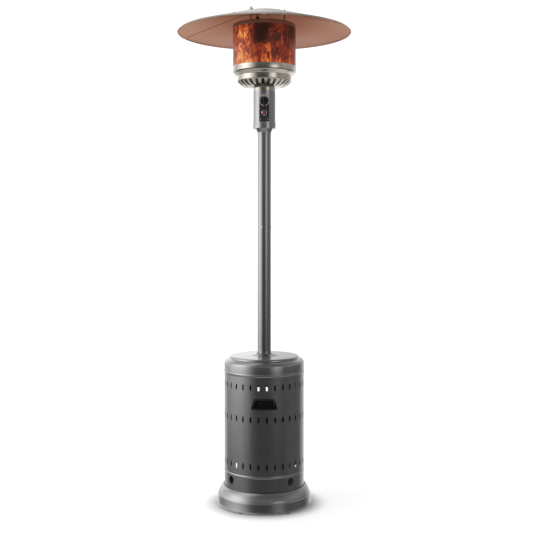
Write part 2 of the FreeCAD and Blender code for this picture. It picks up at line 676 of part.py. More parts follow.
# push-button igniter: a piezo unit whose threaded neck carries the bezel
neck_radius = d.button_radius + d.neck_wall
inside = -1 * (d.housing_radius - d.head_sheet - 1)
bezel_front = -1 * (panel_face + d.bezel_depth)
bezel = rod(d.bezel_radius, d.bezel_depth, (0, -1 * panel_face, igniter_z), FORWARD)
pieces["igniter_bezel"] = cut_from(
    "igniter_bezel", bezel, rod(neck_radius, d.bezel_depth, (0, -1 * panel_face, igniter_z), FORWARD))
barrel = rod(d.piezo_radius, d.piezo_length, (0, inside + d.piezo_length, igniter_z), FORWARD)
neck = rod(neck_radius, inside - bezel_front, (0, inside, igniter_z), FORWARD)
well = rod(d.button_radius + d.button_side_gap, inside - bezel_front, (0, inside, igniter_z), FORWARD)
stem_bore = rod(d.button_stem_radius + d.running_gap, d.piezo_length - d.piezo_floor,
                (0, inside + d.piezo_length - d.piezo_floor, igniter_z), FORWARD)
pieces["piezo_igniter"] = cut_from("piezo_igniter", fused("piezo_blank", [barrel, neck]),
                                   fused("piezo_bores", [well, stem_bore]))
button_back = inside - d.button_travel - d.button_rest_gap
stem_back = button_back + d.button_stem_length - 1
pieces["igniter_button"] = fused("igniter_button", [
    rod(d.button_radius, d.button_depth, (0, button_back, igniter_z), FORWARD),
    rod(d.button_stem_radius, d.button_stem_length, (0, stem_back, igniter_z), FORWARD)])
for target in ("control_panel", "control_housing"):
    drill(target, [rod(neck_radius, REACH, (0, -1 * panel_face + REACH / 2, igniter_z), FORWARD)])

pieces["tilt_switch"] = block(
    d.tilt_switch_width, d.tilt_switch_depth, d.tilt_switch_height,
    (half + d.tilt_switch_width / 2, 2, knob_z - d.tilt_switch_height / 2))

# gas way: inlet under the bracket, a pipe up the post, the valve, and a pipe to the nozzle
inlet_nut_low = bracket_bottom - d.inlet_nut_height
inlet_low = inlet_nut_low - d.inlet_length
inlet_top = bracket_top + d.inlet_rise
inlet = fused("inlet_blank", [
    rod(d.inlet_radius, d.inlet_length, (0, 0, inlet_low)),
    rod(d.inlet_nut_radius, d.inlet_nut_height, (0, 0, inlet_nut_low)),
    rod(d.inlet_radius, inlet_top - bracket_bottom, (0, 0, bracket_bottom))])
drill("post_bracket", [rod(d.inlet_radius, d.bracket_sheet, (0, 0, bracket_bottom))])
pieces["gas_inlet"] = cut_from("gas_inlet", inlet,
                               rod(d.inlet_bore, inlet_top - inlet_low, (0, 0, inlet_low)))
valve_low = knob_z - half
valve_high = knob_z + half
nozzle_low = pan_bottom + d.nozzle_level
tube("gas_feed_pipe", d.pipe_radius, d.pipe_wall, inlet_top, valve_low)
tube("burner_pipe", d.pipe_radius, d.pipe_wall, valve_high, nozzle_low)

# ---------------------------------------------------------------- burner
t = d.burner_sheet
lip_top = screen_band_bottom + d.screen_band_height * d.pan_lip_share
step = d.pan_wall_radius + d.pan_step
step_level = pan_wall_high + d.pan_step_height
roll = d.screen_radius - d.pan_roll
roll_level = screen_band_bottom - d.pan_roll_height
pan = turned("burner_pan", [
    (d.pan_throat_radius - t, housing_top), (d.pan_throat_radius, housing_top),
    (d.pan_throat_radius, pan_bottom), (d.pan_cone_radius, pan_cone_top), Bend(d.pan_cone_arc),
    (d.pan_wall_radius, pan_wall_low), (d.pan_wall_radius, pan_wall_high), Bend(d.pan_step_arc, False),
    (step, step_level), (roll, roll_level), Bend(d.pan_roll_arc),
    (d.screen_radius, screen_band_bottom), (d.screen_radius, lip_top), (d.screen_radius - t, lip_top),
    (d.screen_radius - t, screen_band_bottom + t), Bend(d.pan_roll_arc - t, False),
    (roll - t, roll_level + t), (step - t, step_level + t),
    Bend(d.pan_step_arc + t), (d.pan_wall_radius - t, pan_wall_high),
    (d.pan_wall_radius - t, pan_wall_low + t * 0.5),
    Bend(d.pan_cone_arc - t, False), (d.pan_cone_radius - t, pan_cone_top + t * 0.9),
    (d.pan_throat_radius - t, pan_bottom + t * 0.9)])
half_vent = d.vent_width / 2
vent = pocket(pan, "vent", "XY_Plane", [
    (d.vent_inner, -1 * half_vent * 0.8), (d.vent_outer, -1 * half_vent), Bend(half_vent * 1.02),
    (d.vent_outer, half_vent), (d.vent_inner, half_vent * 0.8), Bend(half_vent * 0.82)])
ring_of(pan, "vents_all_round", [vent], VENT_COUNT)

plate_level = pan_wall_high - d.plate_drop
plate_top = plate_level + d.plate_sheet
turned("burner_plate", [
    (d.venturi_radius, plate_level), (d.pan_wall_radius - t, plate_level),
    (d.pan_wall_radius - t, plate_top), (d.venturi_radius, plate_top)])
nozzle_middle = nozzle_low + d.nozzle_height / 2
venturi_low = nozzle_low + d.nozzle_height
turned("gas_nozzle", [
    (d.jet_radius, nozzle_low), (d.nozzle_radius, nozzle_low), (d.nozzle_radius, nozzle_middle),
    (d.venturi_radius, nozzle_middle), (d.venturi_radius, venturi_low), (d.jet_radius, venturi_low)])
tube("venturi_tube", d.venturi_radius, d.venturi_wall, venturi_low, plate_top + d.burner_cup_height / 2)
cup_top = plate_top + d.burner_cup_height
cone_top = cup_top + d.burner_cone_height
cup_wall = d.burner_cup_wall
turned("burner_head", [
    (d.burner_cup_radius - cup_wall, plate_top), (d.burner_cup_radius, plate_top),
    (d.burner_cup_radius, cup_top), (d.burner_cone_radius, cone_top), (0, cone_top),
    (0, cone_top - cup_wall), (d.burner_cone_radius - cup_wall * 0.4, cone_top - cup_wall),
    (d.burner_cup_radius - cup_wall, cup_top - cup_wall * 0.6)])
pilot_ring = d.burner_cup_radius + d.pilot_margin
pieces["pilot_burner"] = fused("pilot_burner", [
    rod(d.pilot_radius, d.pilot_height, around(pilot_ring, PILOT_ANGLE, plate_top)),
    cone(d.pilot_radius, d.pilot_tip_radius, d.pilot_tip_height,
         around(pilot_ring, PILOT_ANGLE, plate_top + d.pilot_height))])
probe_place = around(pilot_ring, THERMOCOUPLE_ANGLE, plate_top)
pieces["thermocouple"] = fused("thermocouple", [
    rod(d.thermocouple_radius, d.thermocouple_nut, probe_place),
    rod(d.thermocouple_tip_radius, d.thermocouple_height, probe_place)])
spark_place = around(pilot_ring, ELECTRODE_ANGLE, plate_top)
pieces["igniter_electrode"] = fused("igniter_electrode", [
    rod(d.ceramic_radius, d.ceramic_height, spark_place), rod(d.spark_radius, d.spark_height, spark_place)])

tube("burner_band", d.band_radius, d.band_sheet, screen_band_bottom, screen_bottom)
screws("band_screws", ring_places(d.band_radius, BAND_SCREW_ANGLES, screen_band_bottom + d.band_screw_rise),
       BAND_SCREW, ["burner_band", "burner_pan"])
tube("emitter_screen", d.screen_radius, d.screen_sheet, lip_top, screen_top)
edge = cap_top - d.cap_edge
turned("screen_cap", [
    (d.screen_radius, cap_bottom), (d.cap_radius, cap_bottom), (d.cap_radius, edge),
    Bend(d.cap_edge * 1.1), (d.cap_radius - d.cap_edge, cap_top), (0, cap_top),
    (0, cap_top - d.cap_disc_sheet), (d.cap_radius - d.cap_edge, cap_top - d.cap_disc_sheet),
    (d.screen_radius, edge)])
screws("cap_screws", ring_places(d.cap_radius, CAP_SCREW_ANGLES, (cap_bottom + screen_top) / 2),
       CAP_SCREW, ["screen_cap", "emitter_screen"])

# ---------------------------------------------------------------- reflector
t = d.reflector_sheet
lip_level = rim_bottom + d.reflector_lip_height
shoulder = d.reflector_radius - d.reflector_lip
strap_start = d.reflector_eye_radius + d.strap_inset
under_flat = (d.reflector_flat_radius - t * 0.2, reflector_top - t)
under_shoulder = (shoulder - t * 0.6, lip_level - t)
skin = [
    (d.reflector_eye_radius, reflector_top - t), under_flat, under_shoulder,
    (d.reflector_radius - t * 1.3, rim_bottom), (d.reflector_radius, rim_bottom), (shoulder, lip_level),
    (d.reflector_flat_radius, reflector_top), (d.reflector_eye_radius, reflector_top)]
strap = [
    (strap_start, reflector_top - t * 2), (d.reflector_flat_radius - t * 0.4, reflector_top - t * 2),
    (shoulder - t * 1.2, lip_level - t * 2), under_shoulder, under_flat, (strap_start, reflector_top - t)]
sector = 360 / PANEL_COUNT
for number in range(1, PANEL_COUNT + 1):
    body = doc.addObject("PartDesign::Body", f"reflector_panel_{number}")
    revolve(body, f"panel_skin_{number}", skin, sector)
    revolve(body, f"panel_strap_{number}", strap, SKIN_OVERLAP + STRAP_WIDTH, sector - SKIN_OVERLAP)
    body.Placement = Placement(Vector(), Rotation(UP, SEAM_ANGLE - 90 + sector * number))
    pieces[body.Name] = body
all_panels = [f"reflector_panel_{number}" for number in range(1, PANEL_COUNT + 1)]

fall = d.reflector_rise / (shoulder - d.reflector_flat_radius)
seam_places = []
for number in range(PANEL_COUNT):
    for along in (shoulder - d.seam_screw_outer, d.reflector_flat_radius + d.seam_screw_inner):
        level = reflector_top - (along - d.reflector_flat_radius - SEAM_SEAT * SEAM_SCREW[0]) * fall
        seam_places.append((around(along, SEAM_ANGLE + sector * number + SEAM_SCREW_TURN, level), UP))
screws("seam_screws", seam_places, SEAM_SCREW, all_panels)


def at_studs(height):
    return [around(d.stud_ring_radius, angle, height) for angle in STUD_ANGLES]


def stud_cores(name):
    return fused(name, [rod(d.stud_radius, REACH, place) for place in at_studs(reflector_top - REACH / 2)])


pieces["reflector_studs"] = fused("reflector_studs", [
    rod(d.stud_radius, reflector_top + d.stud_end - cap_top, place) for place in at_studs(cap_top)])
for panel in all_panels:
    drill(panel, [rod(d.stud_radius + SCREW_CLEARANCE, REACH, place)
                  for place in at_studs(reflector_top - REACH / 2)])
nut_level = reflector_top - t * 2 - d.stud_nut_height
pieces["stud_nuts"] = cut_from("stud_nuts", fused("stud_nut_blanks", [
    rod(d.stud_washer_radius, d.stud_nut_height, place) for place in at_studs(nut_level)]),
    stud_cores("stud_nut_bores"))
washers = [rod(d.stud_washer_radius, d.wing_washer, place) for place in at_studs(reflector_top)]
hubs = [cone(d.wing_hub_radius, d.wing_hub_top_radius, d.wing_hub_height, place)
        for place in at_studs(reflector_top + d.wing_washer)]
wings = [block(d.wing_span, d.wing_sheet, d.wing_height, place)
         for place in at_studs(reflector_top + d.wing_rise)]
pieces["reflector_wing_nuts"] = cut_from(
    "reflector_wing_nuts", fused("wing_nut_blanks", washers + hubs + wings), stud_cores("wing_nut_bores"))

# ---------------------------------------------------------------- check and write
doc.recompute()
for name, piece in pieces.items():
    for blank in doc.getObjectsByLabel(name):
        blank.Label = name + "_blank"
    piece.Label = name
for thing in doc.Objects:
    if "Invalid" in thing.State or "Error" in thing.State:
        raise RuntimeError(f"{thing.Name} failed: {thing.State}")
os.makedirs("parts", exist_ok=True)
for name, piece in pieces.items():
    shape = piece.Shape
    if shape.isNull() or not shape.isValid() or not shape.Solids:
        raise RuntimeError(f"{name} has no valid shape")
    shape.exportStep(os.path.join("parts", name + ".step"))
print(len(pieces), "pieces")
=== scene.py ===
"""The looks of an outdoor heater: a slate-grey mushroom patio heater with a stainless burner
head, a glowing emitter screen and a copper-toned reflector.  Metres, +Z up, front towards -Y."""
import math
import bmesh
import bpy
from mathutils import Matrix, Vector


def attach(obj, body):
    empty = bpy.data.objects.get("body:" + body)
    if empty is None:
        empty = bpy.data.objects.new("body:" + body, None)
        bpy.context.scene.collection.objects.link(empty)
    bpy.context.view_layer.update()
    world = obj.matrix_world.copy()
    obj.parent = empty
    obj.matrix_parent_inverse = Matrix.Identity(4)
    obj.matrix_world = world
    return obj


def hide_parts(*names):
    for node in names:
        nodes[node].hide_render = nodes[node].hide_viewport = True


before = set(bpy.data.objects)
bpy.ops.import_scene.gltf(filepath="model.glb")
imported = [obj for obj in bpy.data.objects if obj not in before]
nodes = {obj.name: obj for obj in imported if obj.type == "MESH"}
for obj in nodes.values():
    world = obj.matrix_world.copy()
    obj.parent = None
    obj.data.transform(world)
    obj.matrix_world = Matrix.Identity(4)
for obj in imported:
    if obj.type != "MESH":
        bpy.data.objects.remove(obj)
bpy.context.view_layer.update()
UP = Vector((0, 0, 1))

# ---------------------------------------------------------------- camera
# A level view from a little over four metres, with the lens raised off its middle so that
# the whole heater is in the picture and its post stays upright.
EYE = Vector((0.0104, -4.35, 1.285))
LENS_MM = 62.5
LENS_SHIFT = -0.0718
SENSOR_MM = 36

eye = bpy.data.cameras.new("camera")
eye.lens = LENS_MM
eye.sensor_width = SENSOR_MM
eye.shift_y = LENS_SHIFT
camera = bpy.data.objects.new("camera", eye)
camera.location = EYE
camera.rotation_euler = (math.radians(90), 0, 0)
bpy.context.scene.collection.objects.link(camera)
bpy.context.scene.camera = camera


# ---------------------------------------------------------------- shader sums
# A socket that takes part in Python expressions, so that a finish reads as arithmetic.
class Shade:
    def __init__(self, tree, socket=None):
        self.tree = tree
        self.socket = socket

    def node(self, kind, settings=None, inputs=None, output=0):
        made = self.tree.nodes.new(kind)
        for name, value in (settings or {}).items():
            if name == "stops":
                ramp = made.color_ramp
                while len(ramp.elements) < len(value):
                    ramp.elements.new(0.5)
                for element, (position, colour) in zip(ramp.elements, value):
                    element.position = position
                    element.color = (*colour, 1)
            else:
                setattr(made, name, value)
        for name, value in (inputs or {}).items():
            if isinstance(value, Shade):
                self.tree.links.new(value.socket, made.inputs[name])
            elif isinstance(value, tuple) and len(value) == 3 and made.inputs[name].type == "RGBA":
                made.inputs[name].default_value = (*value, 1)
            else:
                made.inputs[name].default_value = value
        return Shade(self.tree, made.outputs[output] if made.outputs else None)

    def math(self, operation, other=None, first=None):
        inputs = {0: self if first is None else first}
        if other is not None:
            inputs[1] = other
        return self.node("ShaderNodeMath", {"operation": operation}, inputs)

    def __add__(self, other):
        return self.math("ADD", other)

    def __radd__(self, other):
        return self.math("ADD", other)

    def __sub__(self, other):
        return self.math("SUBTRACT", other)

    def __rsub__(self, other):
        return self.math("SUBTRACT", self, other)

    def __mul__(self, other):
        return self.math("MULTIPLY", other)

    def __truediv__(self, other):
        return self.math("DIVIDE", other)

    def __pow__(self, other):
        return self.math("POWER", other)

    def part(self, letter):
        return self.node("ShaderNodeSeparateXYZ", None, {0: self}, output=letter)

    def rise(self, low, high):
        """Nought below one value, one above the other and a smooth step between them."""
        return self.node("ShaderNodeMapRange", {"interpolation_type": "SMOOTHSTEP"},
                         {"Value": self, "From Min": low, "From Max": high})

    def fall(self, low, high):
        return 1 - self.rise(low, high)

    def stretched(self, x, y, z):
        return self.node("ShaderNodeMapping", None, {0: self, "Scale": (x, y, z)})

    def noise(self, scale, detail=2.0, rough=0.5, curl=0.0):
        return self.node("ShaderNodeTexNoise", None, {
            "Vector": self, "Scale": scale, "Detail": detail, "Roughness": rough, "Distortion": curl})

    def blend(self, low, high):
        """A colour between two, by this value."""
        return self.node("ShaderNodeMix", {"data_type": "RGBA", "clamp_factor": True},
                         {0: self, 6: low, 7: high}, output=2)

    def bump(self, strength, distance):
        return self.node("ShaderNodeBump", None,
                         {"Height": self, "Strength": strength, "Distance": distance})


def new_finish(name):
    """A material with nothing in it yet, and its object coordinates."""
    material = bpy.data.materials.new(name)
    material.use_nodes = True
    material.node_tree.nodes.clear()
    shade = Shade(material.node_tree)
    return material, shade.node("ShaderNodeTexCoord", output="Object")


def close_finish(place, sockets):
    """The surface of a material from the sockets of one Principled shader."""
    surface = place.node("ShaderNodeBsdfPrincipled", None, sockets)
    place.node("ShaderNodeOutputMaterial", None, {"Surface": surface})


# ---------------------------------------------------------------- studio
# A white room with its light on the left, a narrow strip on the right and a dark end behind
# the camera.  The light comes from the room itself; the floor catches the shadow, and round the heater it
# adds a painted shadow where its own glow fades out.
FLOOR_SIZE = 60
BACKDROP_STRENGTH = 1.2
FLOOR_STRENGTH = 0.62
SHADOW_EDGE = (0.19, 0.31)

world = bpy.data.worlds.new("studio")
world.use_nodes = True
world.node_tree.nodes.clear()
sky = Shade(world.node_tree)
heading = sky.node("ShaderNodeTexCoord", output="Generated")
turn = heading.part("X").math("ARCTAN2", heading.part("Y") * -1) * (180 / math.pi)
lift = heading.part("Z")
raised = lift.rise(-0.26, 0.0)
left_wall = turn.fall(-74, -24) * (raised * (1.2 + turn.rise(-130, -95)) + 0.11)
right_strip = turn.rise(14, 34) * turn.fall(40, 60) * lift.rise(-0.1, 0.03) * lift.fall(0.05, 0.3) * 1.7
right_wall = turn.rise(45, 80) * (lift.rise(-0.12, 0.1) * 0.12 + 0.11)
backdrop = turn.math("ABSOLUTE").rise(115, 160) * (0.95 - lift.rise(-0.08, 0.12) * 0.5)
front_wall = lift.rise(-0.12, 0.12) * 0.14 + lift.rise(0.1, 0.5) * 0.18 + 0.055
left_gap = (turn + 112).math("ABSOLUTE").fall(8, 30) * lift.rise(-0.05, 0.15) * 0.4
floor_glow = lift.fall(-0.75, -0.35) * 0.8
room = front_wall + right_strip + right_wall + left_wall.math("MAXIMUM", backdrop) * (1 - left_gap)
room = room.math("MAXIMUM", floor_glow)
room = room * (1 - lift.rise(0.3, 0.7) * 0.45)
lit = sky.node("ShaderNodeBackground", None, {"Color": (1.0, 1.0, 1.0), "Strength": room})
white = sky.node("ShaderNodeBackground", None, {"Color": (1.0, 1.0, 1.0), "Strength": BACKDROP_STRENGTH})
seen = sky.node("ShaderNodeLightPath", output="Is Camera Ray")
sky.node("ShaderNodeOutputWorld", None, {
    "Surface": sky.node("ShaderNodeMixShader", None, {0: seen, 1: lit, 2: white})})
bpy.context.scene.world = world
bpy.context.scene.view_settings.view_transform = "Standard"

sweep = bmesh.new()
bmesh.ops.create_grid(sweep, x_segments=1, y_segments=1, size=FLOOR_SIZE / 2)
floor_mesh = bpy.data.meshes.new("floor")
sweep.to_mesh(floor_mesh)
sweep.free()
floor = bpy.data.objects.new("floor", floor_mesh)
bpy.context.scene.collection.objects.link(floor)
floor_white, floor_place = new_finish("floor_white")
far_off = (floor_place.part("X") ** 2 + floor_place.part("Y") ** 2) ** 0.5
# painted shadow: the floor's own white glow fades out towards the heater's axis, darkening the floor round
# the base
white_past_painted_shadow = far_off.rise(*SHADOW_EDGE).blend((0.0, 0.0, 0.0), (1.0, 1.0, 1.0))
close_finish(floor_place, {"Base Color": (0.68, 0.68, 0.68), "Roughness": 0.9,
                           "Emission Color": white_past_painted_shadow, "Emission Strength": FLOOR_STRENGTH})
floor_mesh.materials.append(floor_white)
floor.visible_glossy = False
floor.visible_diffuse = False
floor.visible_shadow = False


# ---------------------------------------------------------------- base
# The base is a dome pressed from one steel sheet: a skirt, a flared foot rolled under at the
# floor and a flat lip that carries the deck.  It stands on six rubber feet.
MM = 0.001
SHARP = math.radians(38)
BASE_SHEET = 1.2
FOOT_RING = 206
FEET = 6


def around(radius, angle, height):
    """A point in metres from a radius and height in millimetres, turned from the front."""
    turned = math.radians(angle)
    return Vector((radius * math.sin(turned), -radius * math.cos(turned), height)) * MM


def facing(at, direction):
    """A place whose Z axis points in a direction."""
    return Matrix.Translation(at) @ direction.to_track_quat("Z", "Y").to_matrix().to_4x4()


def round_corner(bm, corner, offset, segments):
    """Rounds one corner of an outline."""
    bmesh.ops.bevel(bm, geom=[corner], offset=offset, offset_type="OFFSET", affect="VERTICES",
                    segments=segments, profile=0.5, material=-1)


def lathe(bm, profile, sheet=0.0, place=Matrix.Identity(4), steps=192, angle=math.tau, opened=None):
    """Spins a line of (radius, height, rounding) in millimetres, as a sheet if it has a thickness;
    opened says which of its faces are holes."""
    before = set(bm.verts)
    corners = [bm.verts.new((radius * MM, 0, height * MM)) for radius, height, _ in profile]
    for first, last in zip(corners, corners[1:]):
        bm.edges.new((first, last))
    for corner, (_, _, rounding) in zip(corners, profile):
        if rounding:
            round_corner(bm, corner, rounding * MM, 6)
    line = [vert for vert in bm.verts if vert not in before]
    edges = list({edge for vert in line for edge in vert.link_edges})
    bmesh.ops.spin(bm, geom=line + edges, cent=(0, 0, 0), axis=UP, angle=angle, steps=steps,
                   use_merge=angle == math.tau)
    made = [vert for vert in bm.verts if vert not in before]
    bmesh.ops.remove_doubles(bm, verts=made, dist=1e-7)
    made = [vert for vert in bm.verts if vert not in before]
    faces = list({face for vert in made for face in vert.link_faces})
    if opened:
        cut_out = [face for face in faces if opened(face.calc_center_median() / MM)]
        faces = [face for face in faces if face not in cut_out]
        bmesh.ops.delete(bm, geom=cut_out, context="FACES")
    bmesh.ops.recalc_face_normals(bm, faces=faces)
    if sheet:
        bmesh.ops.solidify(bm, geom=faces, thickness=sheet * MM)
    made = [vert for vert in bm.verts if vert not in before]
    bmesh.ops.transform(bm, matrix=place, verts=made)


def make_piece(name, bm, body, slot, finishes, *replaced):
    """The mesh as a piece that rides on a body and stands for CAD nodes."""
    bmesh.ops.recalc_face_normals(bm, faces=bm.faces)
    for face in bm.faces:
        face.smooth = True
    mesh = bpy.data.meshes.new(name)
    bm.to_mesh(mesh)
    bm.free()
    mesh.set_sharp_from_angle(angle=SHARP)
    for finish in finishes:
        mesh.materials.append(finish)
    piece = bpy.data.objects.new(name, mesh)
    bpy.context.scene.collection.objects.link(piece)
    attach(piece, body)
    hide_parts(*replaced)


def coat(finish, *names):
    """Gives CAD nodes that stay a finish."""
    for name in names:
        nodes[name].data.materials.clear()
        nodes[name].data.materials.append(finish)


def slate_enamel():
    """Metallic slate enamel: fine flake under a clear coat, a little orange peel, faint mottle."""
    material, place = new_finish("slate_enamel")
    flake = place.noise(420, 1)
    peel = place.noise(180, 2)
    mottle = place.noise(9, 3)
    tone = flake * 0.25 + mottle * 0.75
    close_finish(place, {
        "Base Color": tone.blend((0.275, 0.275, 0.282), (0.340, 0.340, 0.349)),
        "Metallic": 0.92, "Roughness": 0.22 + flake * 0.03 + mottle * 0.03,
        "Coat Weight": 0.12, "Coat Roughness": 0.12, "Normal": peel.bump(0.015, 0.0003)})
    return material


def moulded_rubber():
    material, place = new_finish("moulded_rubber")
    grain = place.noise(900, 3)
    close_finish(place, {
        "Base Color": grain.blend((0.010, 0.010, 0.011), (0.022, 0.022, 0.023)),
        "Roughness": 0.62 + grain * 0.2, "Normal": grain.bump(0.3, 0.0004)})
    return material


def zinc_plate():
    """Bright zinc: a fine crystalline tone with a few duller spots."""
    material, place = new_finish("zinc_plate")
    crystal = place.noise(420, 3)
    dull = place.noise(60, 2)
    close_finish(place, {
        "Base Color": crystal.blend((0.50, 0.50, 0.49), (0.74, 0.74, 0.72)), "Metallic": 1.0,
        "Roughness": 0.16 + dull * 0.18, "Normal": crystal.bump(0.08, 0.0002)})
    return material


enamel = slate_enamel()
rubber = moulded_rubber()
zinc = zinc_plate()

bm = bmesh.new()
lathe(bm, [(193, 5.6, 0), (222.9, 5.6, 1.6), (222.9, 8.4, 1.2), (218, 11, 1.6), (216, 47.6, 1.2),
           (213.4, 51.4, 1), (209, 74, 20), (192, 90, 1.6), (190, 90.4, 0.6), (188.6, 85.6, 0.8),
           (187, 85.6, 0), (186.9, 92.9, 0), (162, 92.9, 0)],
      sheet=BASE_SHEET)
make_piece("base_dome", bm, "stand", "grey_paint", [enamel], "base_shell")

bm = bmesh.new()
for number in range(FEET):
    stand_at = around(FOOT_RING, 30 + 360 / FEET * number, 0)
    lathe(bm, [(0, 1.2, 0), (6, 1.2, 0.4), (7.5, 0, 0.6), (11, 0, 0.9), (12, 1.5, 0.6), (11.4, 5.2, 0),
               (0, 5.2, 0)], place=Matrix.Translation(stand_at), steps=40)
make_piece("rubber_feet", bm, "stand", "rubber", [rubber], "base_feet")

# ---------------------------------------------------------------- tank bay
# Inside the cover a steel deck carries the gas cylinder in a low ring.  Four posts stand on it
# and carry the bracket for the main post; bolts hold them, and the gas inlet hangs below.


def turned_brass():
    material, place = new_finish("turned_brass")
    rings = place.stretched(1, 1, 90).noise(30, 2)
    tarnish = place.noise(45, 3)
    close_finish(place, {
        "Base Color": tarnish.blend((0.50, 0.33, 0.13), (0.72, 0.52, 0.24)), "Metallic": 1.0,
        "Roughness": 0.2 + rings * 0.16, "Normal": rings.bump(0.1, 0.0002)})
    return material


brass = turned_brass()
coat(enamel, "tank_deck", "post_bracket",
     *[f"support_leg_{number}" for number in range(1, 5)])
coat(zinc, "leg_bolts", "bracket_bolts")
coat(brass, "gas_inlet")

# the band under the cover, with a rolled bead along its top and four round cable holes
DRUM_RADIUS = 186.3
DRUM_SHEET = 0.8
BAND_FOOT = 93
BAND_ROWS = 24
BAND_ROW_STEP = 2.5
CABLE_HOLE_RADIUS = 18
CABLE_HOLE_LEVEL = 132
CABLE_HOLE_ANGLES = (-54, 40, 122, 227)
CABLE_HOLE_REACH = 3
cable_holes = [around(DRUM_RADIUS, angle, CABLE_HOLE_LEVEL) / MM for angle in CABLE_HOLE_ANGLES]
band_rows = [(DRUM_RADIUS, BAND_FOOT + BAND_ROW_STEP * row, 0) for row in range(BAND_ROWS)]
bm = bmesh.new()
lathe(bm, band_rows + [(DRUM_RADIUS, 155, 0.6), (187.1, 156.5, 0.8), (187.1, 160.5, 1.2),
                       (186, 162.6, 0.6), (185.7, 164.2, 0)], steps=480,
      opened=lambda middle: any((middle - hole).length < CABLE_HOLE_RADIUS for hole in cable_holes))
# the torn edges of each hole are drawn to one round edge
for vert in bm.verts:
    for hole in cable_holes:
        away = vert.co / MM - hole
        if vert.is_boundary and away.length < CABLE_HOLE_RADIUS + CABLE_HOLE_REACH:
            edge = hole + away.normalized() * CABLE_HOLE_RADIUS
            vert.co = Vector((edge.x, edge.y, 0)).normalized() * DRUM_RADIUS * MM + UP * edge.z * MM
bmesh.ops.solidify(bm, geom=bm.faces[:], thickness=DRUM_SHEET * MM)
make_piece("beaded_band", bm, "stand", "grey_paint", [enamel], "lower_band")

# ---------------------------------------------------------------- tank cover
# A slotted steel drum with a pressed lid: a beaded skirt, a round shoulder, a raised disc with
# a rounded edge and a low boss round the post.
coat(enamel, "cover_shell")

bm = bmesh.new()
lathe(bm, [(187.1, 607.4, 0), (187.1, 613.2, 1.4), (188.5, 615.4, 1.4), (188.5, 620.6, 1.4),
           (187.1, 622.8, 1.4), (187.1, 674, 18.5), (166.5, 675.8, 2.5), (162.3, 677.6, 1.6),
           (162.1, 688.4, 6), (67, 688.9, 9), (45, 696.7, 7), (36.9, 697.3, 1.2), (36.7, 694, 0)],
      sheet=DRUM_SHEET)
make_piece("lid", bm, "tank_cover", "grey_paint", [enamel], "cover_lid")

# ---------------------------------------------------------------- grips
# Black moulded hand grips with a rounded lip outside the drum.  The front one is a ribbed
# pocket; the back one is open, so that fingers go through it.
GRIP_MIDDLE = 490.4
GRIP_SEAT = 0.05
LIP_RISE = 2.0
LIP_HALF_WIDTH, LIP_HALF_HEIGHT = 59, 23.5
# each ring inwards from the lip: its share of the lip's width and height, and how deep it lies
LIP_RINGS = ((0.975, 0.94, -0.7), (0.93, 0.84, 0.2), (0.905, 0.79, 1.4), (0.90, 0.78, 18))
BEND_PITCH = 4.1


def moulded_black():
    """Fine-grained black plastic with a little random wear in its tone and roughness."""
    material, place = new_finish("moulded_black")
    grain = place.noise(1100, 3)
    wear = place.noise(35, 3)
    close_finish(place, {
        "Base Color": wear.blend((0.006, 0.006, 0.0065), (0.016, 0.016, 0.017)),
        "Specular IOR Level": 0.3, "Roughness": 0.28 + wear * 0.18, "Normal": grain.bump(0.16, 0.0003)})
    return material


plastic = moulded_black()


def soften_edges(bm, verts, offset):
    """Rounds the edges that meet at the corners of a block."""
    edges = list({edge for vert in verts for edge in vert.link_edges})
    bmesh.ops.bevel(bm, geom=edges, offset=offset, offset_type="OFFSET", affect="EDGES", segments=4,
                    profile=0.5, material=-1)


def rounded_bar(bm, middle, size, offset):
    """A bar with rounded edges, such as a rib."""
    bar = bmesh.ops.create_cube(bm, size=1, matrix=Matrix.Translation(middle) @ Matrix.Diagonal((*size, 1)))
    soften_edges(bm, bar["verts"], offset)


def grip_flat(open_back):
    """The grip laid flat: across, outwards and up in millimetres."""
    bm = bmesh.new()
    outline = [(-60, -25, 8), (60, -25, 8), (48, 25.5, 9), (-48, 25.5, 9)]
    corners = [bm.verts.new((across, 0, up)) for across, up, _ in outline]
    bm.faces.new(corners)
    for corner, (_, _, rounding) in zip(corners, outline):
        round_corner(bm, corner, rounding, 8)
    bm.faces.ensure_lookup_table()
    rim = list(bm.edges)
    raised = bmesh.ops.extrude_edge_only(bm, edges=rim)["geom"]
    lip = [part for part in raised if isinstance(part, bmesh.types.BMEdge)]
    lip_verts = [part for part in raised if isinstance(part, bmesh.types.BMVert)]
    bmesh.ops.translate(bm, vec=(0, -LIP_RISE, 0), verts=lip_verts)
    bmesh.ops.delete(bm, geom=[face for face in bm.faces if len(face.verts) > 4], context="FACES_ONLY")
    for share_wide, share_tall, deep in LIP_RINGS:
        ring = bmesh.ops.extrude_edge_only(bm, edges=lip)["geom"]
        lip = [part for part in ring if isinstance(part, bmesh.types.BMEdge)]
        lip_verts = [part for part in ring if isinstance(part, bmesh.types.BMVert)]
        for vert in lip_verts:
            vert.co.y = deep - LIP_RISE
        wide = max(abs(vert.co.x) for vert in lip_verts)
        tall = max(abs(vert.co.z) for vert in lip_verts)
        bmesh.ops.scale(bm, vec=(share_wide * LIP_HALF_WIDTH / wide, 1, share_tall * LIP_HALF_HEIGHT / tall),
                        verts=lip_verts)
    if not open_back:
        bmesh.ops.contextual_create(bm, geom=lip)
        for middle in (-19, 15):
            for up in (-8.5, 0, 8.5):
                rounded_bar(bm, (middle, 11, up), (25, 10, 4), 1.6)
        for across in (-46, 46):
            rounded_bar(bm, (across, 6.5, -1), (7, 15, 26), 3.2)
    for number in range(-14, 15):
        bmesh.ops.bisect_plane(bm, geom=bm.verts[:] + bm.edges[:] + bm.faces[:],
                               plane_co=(number * BEND_PITCH, 0, 0), plane_no=(1, 0, 0))
    return bm


